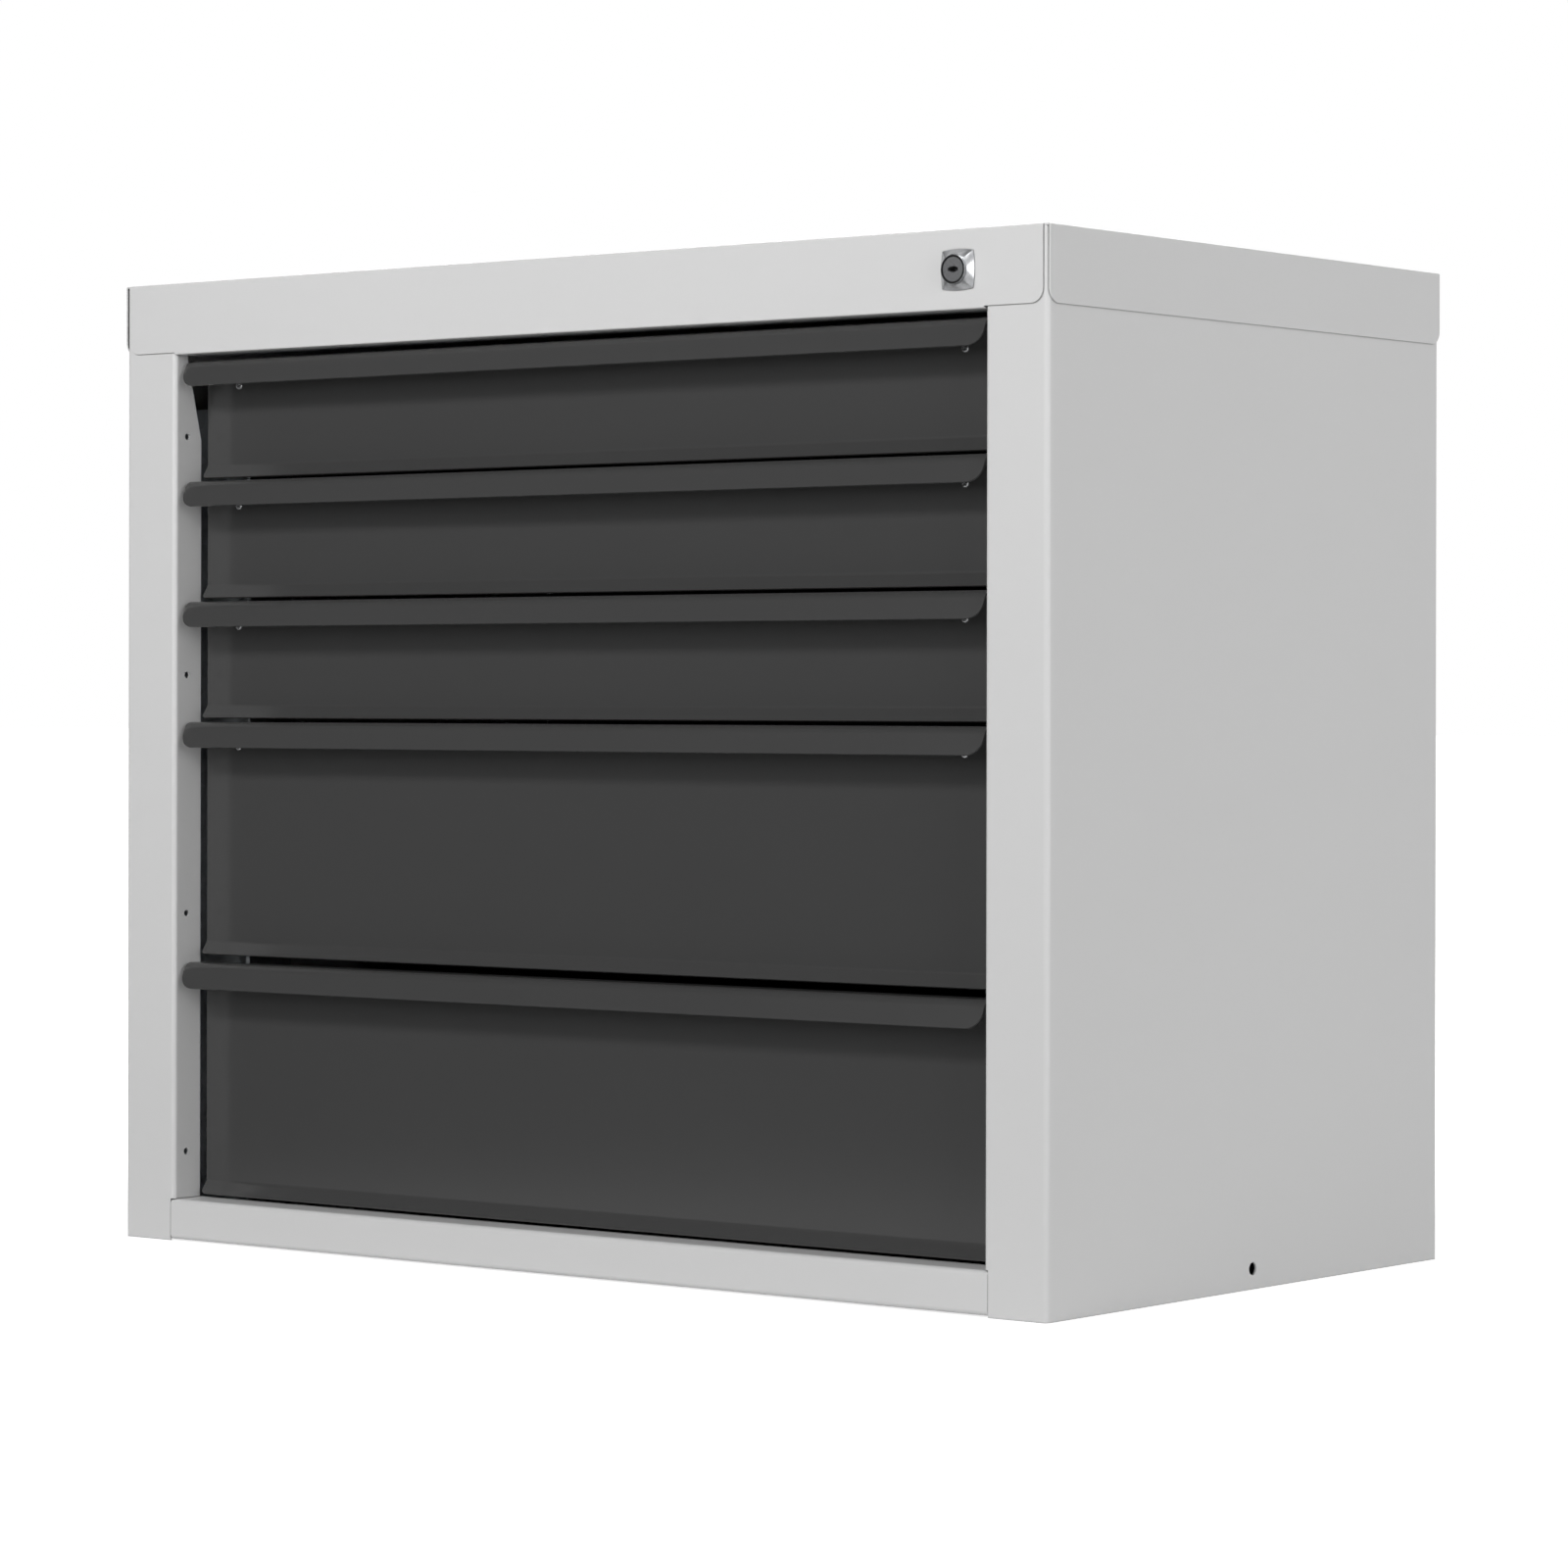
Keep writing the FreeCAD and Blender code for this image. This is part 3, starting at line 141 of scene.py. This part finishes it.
near = add(tree, "ShaderNodeMapRange", SMOOTH, Value=from_middle.outputs["Value"],
           From_Min=0.4, From_Max=0.95, To_Min=0.7, To_Max=0.0)
around = add(tree, "ShaderNodeMath", LARGER, i0=behind.outputs[0], i1=right.outputs[0])
mirrored = add(tree, "ShaderNodeMath", LARGER, i0=around.outputs[0], i1=near.outputs[0])
mirror = add(tree, "ShaderNodeEmission", Color=WHITE, Strength=mirrored.outputs[0])
dim = add(tree, "ShaderNodeBsdfDiffuse", Color=linear("#dedede"))
faint = add(tree, "ShaderNodeMath", {"operation": "MULTIPLY"}, i0=near.outputs[0], i1=0.12)
lit_near = add(tree, "ShaderNodeEmission", Color=WHITE, Strength=faint.outputs[0])
dim_and_near = add(tree, "ShaderNodeAddShader", i0=dim.outputs[0], i1=lit_near.outputs[0])
bounced = add(tree, "ShaderNodeMixShader", i0=path.outputs["Is Glossy Ray"],
              i1=dim_and_near.outputs[0], i2=mirror.outputs[0])
both = add(tree, "ShaderNodeMixShader", i0=path.outputs["Is Camera Ray"],
           i1=bounced.outputs[0], i2=bright.outputs[0])
add(tree, "ShaderNodeOutputMaterial", Surface=both.outputs[0])
floor_mesh.materials.append(paper)


def soft_box(name, place, target, width, height, watts):
    """A rectangular lamp at a place, turned towards a target."""
    data = bpy.data.lights.new(name, "AREA")
    data.shape = "RECTANGLE"
    data.size, data.size_y, data.energy = width, height, watts
    lamp = bpy.data.objects.new(name, data)
    lamp.location = place
    lamp.rotation_euler = (Vector(target) - Vector(place)).to_track_quat("-Z", "Y").to_euler()
    bpy.context.scene.collection.objects.link(lamp)


FRONT = (0, -0.2, 0.3)
soft_box("key_lamp", (-0.15, -1.92, 1.55), FRONT, width=0.8, height=0.3, watts=16.8)
soft_box("wide_front_lamp", (0.1, -2.4, 1.2), FRONT, width=2.2, height=1.6, watts=27.6)
soft_box("top_lamp", (0.2, -0.4, 3.0), FRONT, width=2.0, height=1.5, watts=7)
soft_box("far_side_lamp", (4.0, -1.5, 1.0), FRONT, width=2.0, height=1.6, watts=41.5)
soft_box("high_side_lamp", (1.5, 0.1, 1.9), (0.35, 0, 0.3), width=0.7, height=0.7, watts=6.5)
soft_box("low_side_lamp", (2.4, 0.7, 0.25), (0.35, 0.1, 0.2), width=0.8, height=0.5, watts=9.8)
soft_box("back_lamp", (-1.9, 2.4, 1.9), (0, 0.2, 0.3), width=1.6, height=1.6, watts=40)


# Cabinet sheets
# Steel sheet of about 1 mm, folded and powder coated in light grey. The coat is smooth and satin,
# with the faint orange peel of cured powder and slightly uneven tone over large areas.
COLOURS = {"data_type": "RGBA"}
# Near black for the painted shade in corners, creases and tight gaps.
PAINTED_SHADE_BLACK = linear("#191919")
TONE_PATCH_MM = 111
SHADE_REACH_MM = 1.3
GLOSS_SWING = 0.02


def new_material(name):
    """A material with a Principled shader joined to its output, and its tree."""
    material = bpy.data.materials.new(name)
    material.use_nodes = True
    tree = material.node_tree
    tree.nodes.clear()
    shader = add(tree, "ShaderNodeBsdfPrincipled")
    add(tree, "ShaderNodeOutputMaterial", Surface=shader.outputs[0])
    return material, tree, shader


def powder_coat(name, colour, peel_mm, peel_depth_mm, roughness, tone):
    """Cured powder paint: orange peel, a slow change of tone and gloss, and painted shade darkening
    corners and tight gaps.
    """
    material, tree, shader = new_material(name)
    where = add(tree, "ShaderNodeTexCoord")
    slow = add(tree, "ShaderNodeTexNoise", Vector=where.outputs["Object"],
               Scale=1 / (TONE_PATCH_MM * MM), Detail=2.0)
    fine = add(tree, "ShaderNodeTexNoise", Vector=where.outputs["Object"],
               Scale=1 / (peel_mm * MM), Detail=2.0)
    base = linear(colour)
    darker = [c * (1 - tone) for c in base[:3]] + [1.0]
    lighter = [c * (1 + tone) for c in base[:3]] + [1.0]
    mixed = add(tree, "ShaderNodeMix", COLOURS, i0=slow.outputs["Fac"], i6=darker, i7=lighter)
    gloss = add(tree, "ShaderNodeMapRange", Value=slow.outputs["Fac"],
                To_Min=roughness - GLOSS_SWING, To_Max=roughness + GLOSS_SWING)
    peel = add(tree, "ShaderNodeBump", Height=fine.outputs["Fac"], Strength=1.0,
               Distance=peel_depth_mm * MM)
    # Painted shade: an ambient occlusion mask blends the colour towards near black in corners,
    # creases and tight gaps, where shade falls.
    corner_shade = add(tree, "ShaderNodeAmbientOcclusion", {"samples": 8}, Distance=SHADE_REACH_MM * MM)
    unshaded = add(tree, "ShaderNodeMapRange", Value=corner_shade.outputs["AO"],
                   From_Min=0.35, From_Max=0.9, To_Min=0.3, To_Max=1.0)
    shaded = add(tree, "ShaderNodeMix", COLOURS, i0=unshaded.outputs[0], i6=PAINTED_SHADE_BLACK,
                 i7=mixed.outputs[2])
    tree.links.new(shaded.outputs[2], shader.inputs["Base Color"])
    tree.links.new(gloss.outputs[0], shader.inputs["Roughness"])
    tree.links.new(peel.outputs[0], shader.inputs["Normal"])
    return material


def finish(material, *names):
    """Gives CAD nodes one material."""
    for name in names:
        slots = nodes[name].data.materials
        slots.clear()
        slots.append(material)


light_grey = powder_coat("light_grey_powder_coat", "#cccccc", peel_mm=1.6, peel_depth_mm=0.005,
                         roughness=0.3, tone=0.008)
finish(light_grey, "side_panel_left", "side_panel_right", "bottom_panel", "top_cover",
       "back_panel")

# Slide uprights
# Hat sections of hot-dip galvanised sheet, spot welded to the walls. The zinc has a dull spangle
# of crystals about 8 mm across.
SPANGLE_MM = 8
galvanised, tree, shader = new_material("galvanised_sheet_steel")
where = add(tree, "ShaderNodeTexCoord")
spangle = add(tree, "ShaderNodeTexVoronoi", Vector=where.outputs["Object"],
              Scale=1 / (SPANGLE_MM * MM))
tones = add(tree, "ShaderNodeMix", COLOURS, i0=spangle.outputs["Color"],
            i6=linear("#a9adb0"), i7=linear("#c3c7ca"))
rough = add(tree, "ShaderNodeMapRange", Value=spangle.outputs["Color"], To_Min=0.38, To_Max=0.55)
tree.links.new(tones.outputs[2], shader.inputs["Base Color"])
tree.links.new(rough.outputs[0], shader.inputs["Roughness"])
shader.inputs["Metallic"].default_value = 1.0
finish(galvanised, *(f"upright_{end}_{side}" for end in ("front", "rear")
                     for side in ("left", "right")))

# Telescopic slides
# Roll-formed steel, bright zinc plated. Rolling leaves fine streaks along the members.
ROUGHNESS_SWING = 0.06
STREAK_DEPTH_MM = 0.004
ALONG_Y, ALONG_Z, EVEN = (1, 60, 1), (1, 1, 40), (1, 1, 1)


def plated_steel(name, dark, pale, streak_mm, stretch, roughness, metal=1.0):
    """Zinc-plated steel with fine streaks along one axis, or a fine grain where stretch is even."""
    material, tree, shader = new_material(name)
    where = add(tree, "ShaderNodeTexCoord")
    scaled = add(tree, "ShaderNodeMapping", Vector=where.outputs["Object"],
                 Scale=[1 / s for s in stretch])
    streaks = add(tree, "ShaderNodeTexNoise", Vector=scaled.outputs[0],
                  Scale=1 / (streak_mm * MM), Detail=3.0)
    tones = add(tree, "ShaderNodeMix", COLOURS, i0=streaks.outputs["Fac"],
                i6=linear(dark), i7=linear(pale))
    rough = add(tree, "ShaderNodeMapRange", Value=streaks.outputs["Fac"],
                From_Min=0.3, From_Max=0.7, To_Min=roughness - ROUGHNESS_SWING,
                To_Max=roughness + ROUGHNESS_SWING)
    lines = add(tree, "ShaderNodeBump", Height=streaks.outputs["Fac"], Strength=1.0,
                Distance=STREAK_DEPTH_MM * MM)
    tree.links.new(tones.outputs[2], shader.inputs["Base Color"])
    tree.links.new(rough.outputs[0], shader.inputs["Roughness"])
    tree.links.new(lines.outputs[0], shader.inputs["Normal"])
    shader.inputs["Metallic"].default_value = metal
    return material


slide_zinc = plated_steel("zinc_plated_rolled_steel", "#b4b9bd", "#cfd4d8", streak_mm=1.2,
                          stretch=ALONG_Y, roughness=0.3)
drawers = range(1, 6)
for number in drawers:
    finish(slide_zinc, *(f"slide_{member}_{number}" for member in ("outer", "middle", "inner")))

# Drawers
# Fronts and trays are steel sheet of 1 mm, powder coated in anthracite with a satin gloss. Each
# front is one folded sheet with its handle, and two blind rivets under the handle join it to its
# tray. The rivets' domed heads are bare aluminium.
anthracite = powder_coat("anthracite_powder_coat", "#404040", peel_mm=1.8, peel_depth_mm=0.002,
                         roughness=0.19, tone=0.012)
finish(anthracite, *(f"drawer_{sheet}_{number}" for number in drawers
                     for sheet in ("front", "tray")))

rivet_metal = plated_steel("aluminium_rivet", "#c6c8ca", "#e0e1e2", streak_mm=0.8,
                           stretch=EVEN, roughness=0.24, metal=0.85)
finish(rivet_metal, "back_panel_rivets", *(f"front_rivets_{number}" for number in drawers))

# Lock
# Zinc die casting with satin chrome: rosette, housing and plug. Painted shade darkens the ring gap
# round the plug and the keyway, with a ragged edge to the keyway's shade. The marks are drawn in
# millimetres from the plug's axis, and the plug's own turn with it.
RING_RADIUS_MM = 7.35
FACE_RADIUS_MM = 7.3
KEYWAY_HALF_MM = (3.125, 1.923)
KEYWAY_SHADE_EDGE_MM = 0.91
CASTING_MM = 4.5
PRODUCT = {"operation": "MULTIPLY"}
chrome, tree, shader = new_material("satin_chrome")
low, high = (Vector(corner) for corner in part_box("lock_plug"))
where = add(tree, "ShaderNodeTexCoord")
centred = add(tree, "ShaderNodeVectorMath", {"operation": "SUBTRACT"},
              i0=where.outputs["Object"], i1=(low + high) / 2)
flat = add(tree, "ShaderNodeVectorMath", PRODUCT, i0=centred.outputs[0],
           i1=(1 / MM, 0.0, 1 / MM))
radius = add(tree, "ShaderNodeVectorMath", {"operation": "LENGTH"}, i0=flat.outputs[0])
off_ring = add(tree, "ShaderNodeMath", {"operation": "SUBTRACT"}, i0=radius.outputs["Value"],
               i1=RING_RADIUS_MM)
groove = add(tree, "ShaderNodeMath", {"operation": "ABSOLUTE"}, i0=off_ring.outputs[0])
# Painted shade in the ring gap between plug and housing.
ring_gap_shade = add(tree, "ShaderNodeMapRange", Value=groove.outputs[0],
          From_Min=0.4, From_Max=0.75, To_Min=0.06, To_Max=1.0)
slot_shape = add(tree, "ShaderNodeVectorMath", PRODUCT, i0=flat.outputs[0],
                 i1=(1 / KEYWAY_HALF_MM[0], 0.0, 1 / KEYWAY_HALF_MM[1]))
slot_size = add(tree, "ShaderNodeVectorMath", {"operation": "LENGTH"}, i0=slot_shape.outputs[0])
keyway_shade_edge = add(tree, "ShaderNodeTexNoise", Vector=flat.outputs[0], Scale=1 / KEYWAY_SHADE_EDGE_MM, Detail=1.0)
ragged = add(tree, "ShaderNodeMath", {"operation": "ADD"}, i0=slot_size.outputs["Value"],
             i1=keyway_shade_edge.outputs["Fac"])
keyway = add(tree, "ShaderNodeMapRange", Value=ragged.outputs[0],
             From_Min=1.25, From_Max=1.5, To_Min=0.03, To_Max=1.0)
outside_painted_shade = add(tree, "ShaderNodeMath", PRODUCT, i0=ring_gap_shade.outputs[0], i1=keyway.outputs[0])
casting = add(tree, "ShaderNodeTexNoise", Vector=flat.outputs[0], Scale=1 / CASTING_MM, Detail=2.0)
tones = add(tree, "ShaderNodeMix", COLOURS, i0=casting.outputs["Fac"],
            i6=linear("#97989a"), i7=linear("#d2d3d5"))
face = add(tree, "ShaderNodeMath", {"operation": "LESS_THAN"}, i0=radius.outputs["Value"],
           i1=FACE_RADIUS_MM)
turned = add(tree, "ShaderNodeMix", COLOURS, i0=face.outputs[0], i6=tones.outputs[2],
             i7=linear("#8e8f91"))
# Painted shade: near black in the ring gap and the keyway, with a noisy edge to the keyway's shade.
with_painted_shade = add(tree, "ShaderNodeMix", COLOURS, i0=outside_painted_shade.outputs[0], i6=linear("#161616"),
           i7=turned.outputs[2])
tree.links.new(with_painted_shade.outputs[2], shader.inputs["Base Color"])
shader.inputs["Metallic"].default_value = 0.75
shader.inputs["Roughness"].default_value = 0.24
finish(chrome, "lock_rosette", "lock_housing", "lock_plug")

# Locking bar and small parts
# Plain zinc-plated steel behind the header and the right stile: strip for the bar, its yoke, dogs
# and guides, and turned or stamped parts for the rest.
bar_zinc = plated_steel("zinc_plated_strip_steel", "#a8adb2", "#c2c7cb", streak_mm=1.0,
                        stretch=ALONG_Z, roughness=0.34)
finish(bar_zinc, "lock_bar", "lock_bar_yoke", "lock_dogs", "lock_bar_guides")
small_zinc = plated_steel("zinc_plated_small_parts", "#aeb2b6", "#c9cdd1", streak_mm=0.6,
                          stretch=EVEN, roughness=0.32)
finish(small_zinc, "lock_nut", "lock_cam", "cam_screw", "slide_screws",
       *(f"lock_stud_{number}" for number in drawers))

bpy.context.scene.view_settings.view_transform = "Standard"
bpy.context.view_layer.update()
